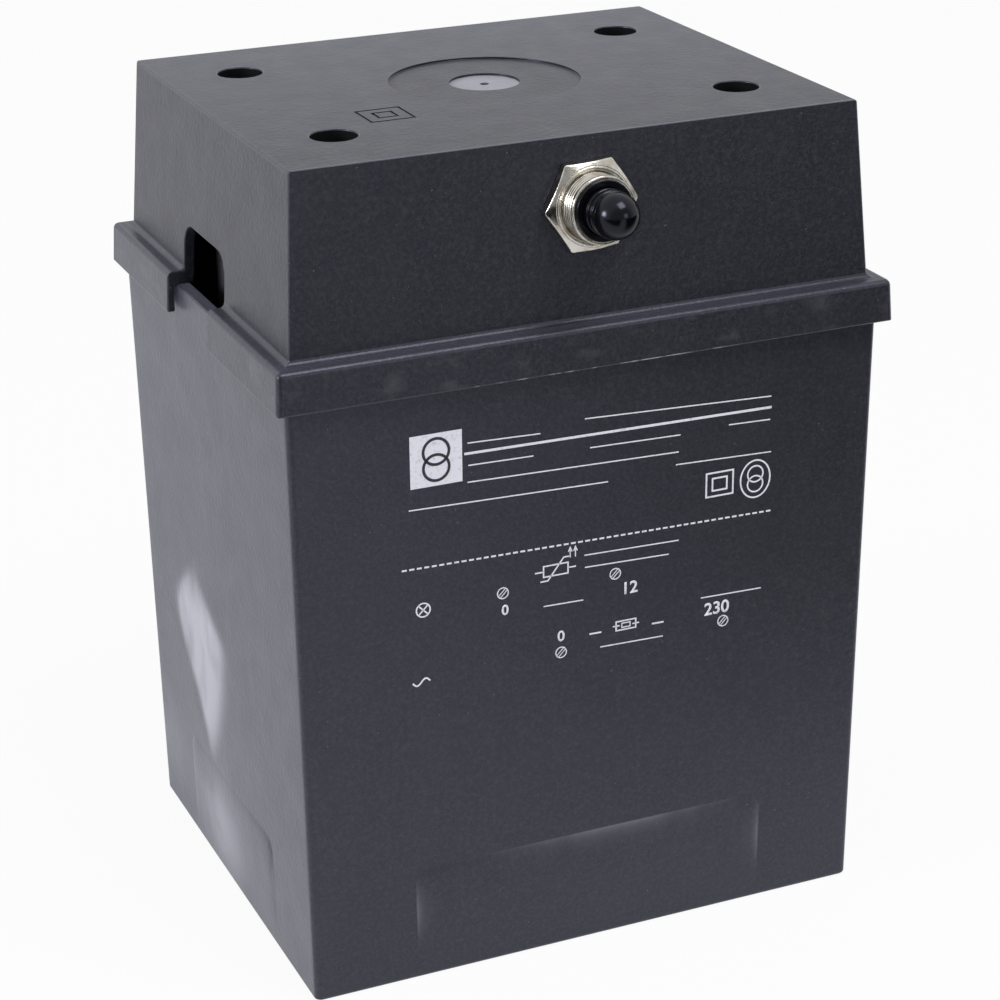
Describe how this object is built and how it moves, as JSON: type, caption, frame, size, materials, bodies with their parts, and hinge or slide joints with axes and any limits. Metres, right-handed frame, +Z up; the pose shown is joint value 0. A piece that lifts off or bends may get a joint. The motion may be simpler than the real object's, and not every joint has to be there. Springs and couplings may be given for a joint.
{
  "type": "lighting transformer",
  "caption": "Lighting transformer in a black moulded case, with a potted coil and core, screw clamp terminals, and a screwed-on wiring cover with cable slots and a push-to-reset breaker.",
  "frame": {"origin": "middle of the tub's underside, on the surface that the transformer stands on", "axes": "+Z up; -Y is the printed face with the reset button; +X is to the right of a person who looks at that face"},
  "size_m": [0.113, 0.104, 0.1495],
  "materials": {
    "case": "fine-grained black moulded plastic",
    "resin": "dark filled potting resin",
    "core_steel": "stamped silicon steel sheets",
    "zinc_steel": "zinc-plated steel",
    "bobbin_nylon": "natural glass-filled nylon",
    "enamelled_wire": null,
    "tape": "yellow polyester tape",
    "fuse_metal": "bare aluminium can",
    "tinned": "tinned wire",
    "plate_plastic": "black glass-filled nylon",
    "brass_parts": "turned and stamped brass",
    "fibre_card": "pressed insulating card",
    "block_blue": "dark blue moulded nylon",
    "block_grey": "grey moulded nylon",
    "cage_steel": "nickel-plated steel",
    "lead_black": "black silicone insulation",
    "lead_blue": "blue insulation",
    "lead_brown": "brown insulation",
    "lead_red": "red insulation",
    "breaker_plastic": "black phenolic moulding",
    "nickel": "nickel-plated brass",
    "button_black": "glossy black plastic",
    "spring_steel": "drawn spring wire",
    "tinned_brass": "tinned brass"
  },
  "bodies": {
    "tub": {"case_tub": "case", "resin_fill": "resin", "core_e_sheets": "core_steel", "core_i_sheets": "core_steel", "core_bolts": "zinc_steel", "core_washers": "zinc_steel", "core_nuts": "zinc_steel", "bobbin": "bobbin_nylon", "primary_winding": "enamelled_wire", "secondary_winding": "enamelled_wire", "primary_tape": "tape", "secondary_tape": "tape", "thermal_fuse": "fuse_metal", "fuse_tail": "tinned", "terminal_plate": "plate_plastic", "pillar_inserts": "brass_parts", "barrier_card": "fibre_card", "sec_terminal_block": "block_blue", "pri_terminal_block": "block_grey", "block_screws": "zinc_steel", "sec_contact_bars": "brass_parts", "pri_contact_bars": "brass_parts", "sec_grip_bar": "plate_plastic", "pri_grip_bar": "plate_plastic", "grip_screws": "zinc_steel", "sec_lead": "lead_black", "pri_lead": "lead_blue", "fuse_lead": "lead_brown", "breaker_lead_in": "lead_red", "breaker_lead_out": "lead_red"},
    "hood": {"cover": "case", "cover_screws": "zinc_steel", "breaker_body": "breaker_plastic", "breaker_back": "breaker_plastic", "breaker_neck": "nickel", "neck_bush": "button_black", "breaker_nut": "nickel", "lock_washer": "zinc_steel", "reset_spring": "spring_steel", "blade_pin": "zinc_steel", "blade_bracket": "brass_parts", "fixed_contact": "brass_parts", "breaker_tabs": "tinned_brass", "push_on_terminals": "tinned_brass"},
    "button": {"reset_button": "button_black"},
    "blade": {"trip_blade": "brass_parts"},
    "sec_screw_1": {"sec_screw_1": "zinc_steel"},
    "sec_screw_2": {"sec_screw_2": "zinc_steel"},
    "pri_screw_1": {"pri_screw_1": "zinc_steel"},
    "pri_screw_2": {"pri_screw_2": "zinc_steel"},
    "sec_cage_1": {"sec_cage_1": "cage_steel"},
    "sec_cage_2": {"sec_cage_2": "cage_steel"},
    "pri_cage_1": {"pri_cage_1": "cage_steel"},
    "pri_cage_2": {"pri_cage_2": "cage_steel"}
  },
  "joints": [
    {"name": "cover_lift", "type": "slide", "parent": "tub", "child": "hood", "axis": [0, 0, 1], "range_m": [0, 0.055], "deforming": ["breaker_lead_in", "breaker_lead_out"]},
    {"name": "reset_travel", "type": "slide", "parent": "hood", "child": "button", "axis": [0, -0.9979, 0.0655], "range_m": [0, 0.0025], "deforming": ["reset_spring"]},
    {"name": "blade_open", "type": "hinge", "parent": "hood", "child": "blade", "pos_m": [-0.012, -0.02369, 0.13688], "axis": [0, -0.0655, -0.9979], "range_deg": [0, 9]},
    {"name": "sec_screw_1_turn", "type": "hinge", "parent": "tub", "child": "sec_screw_1", "pos_m": [-0.019, -0.009, 0.1165], "axis": [0, 0, -1], "range_deg": [0, 1441]},
    {"name": "sec_cage_1_rise", "type": "slide", "parent": "tub", "child": "sec_cage_1", "axis": [0, 0, 1], "range_m": [0, 0.0028]},
    {"name": "sec_screw_2_turn", "type": "hinge", "parent": "tub", "child": "sec_screw_2", "pos_m": [-0.019, 0.009, 0.1165], "axis": [0, 0, -1], "range_deg": [0, 1441]},
    {"name": "sec_cage_2_rise", "type": "slide", "parent": "tub", "child": "sec_cage_2", "axis": [0, 0, 1], "range_m": [0, 0.0028]},
    {"name": "pri_screw_1_turn", "type": "hinge", "parent": "tub", "child": "pri_screw_1", "pos_m": [0.019, -0.009, 0.1165], "axis": [0, 0, -1], "range_deg": [0, 1441]},
    {"name": "pri_cage_1_rise", "type": "slide", "parent": "tub", "child": "pri_cage_1", "axis": [0, 0, 1], "range_m": [0, 0.0028]},
    {"name": "pri_screw_2_turn", "type": "hinge", "parent": "tub", "child": "pri_screw_2", "pos_m": [0.019, 0.009, 0.1165], "axis": [0, 0, -1], "range_deg": [0, 1441]},
    {"name": "pri_cage_2_rise", "type": "slide", "parent": "tub", "child": "pri_cage_2", "axis": [0, 0, 1], "range_m": [0, 0.0028]}
  ],
  "couplings": [
    {"joint": "blade_open", "follows": "reset_travel", "rad_per_m": 60},
    {"joint": "sec_screw_1_turn", "follows": "sec_cage_1_rise", "rad_per_m": 8976},
    {"joint": "sec_screw_2_turn", "follows": "sec_cage_2_rise", "rad_per_m": 8976},
    {"joint": "pri_screw_1_turn", "follows": "pri_cage_1_rise", "rad_per_m": 8976},
    {"joint": "pri_screw_2_turn", "follows": "pri_cage_2_rise", "rad_per_m": 8976}
  ]
}
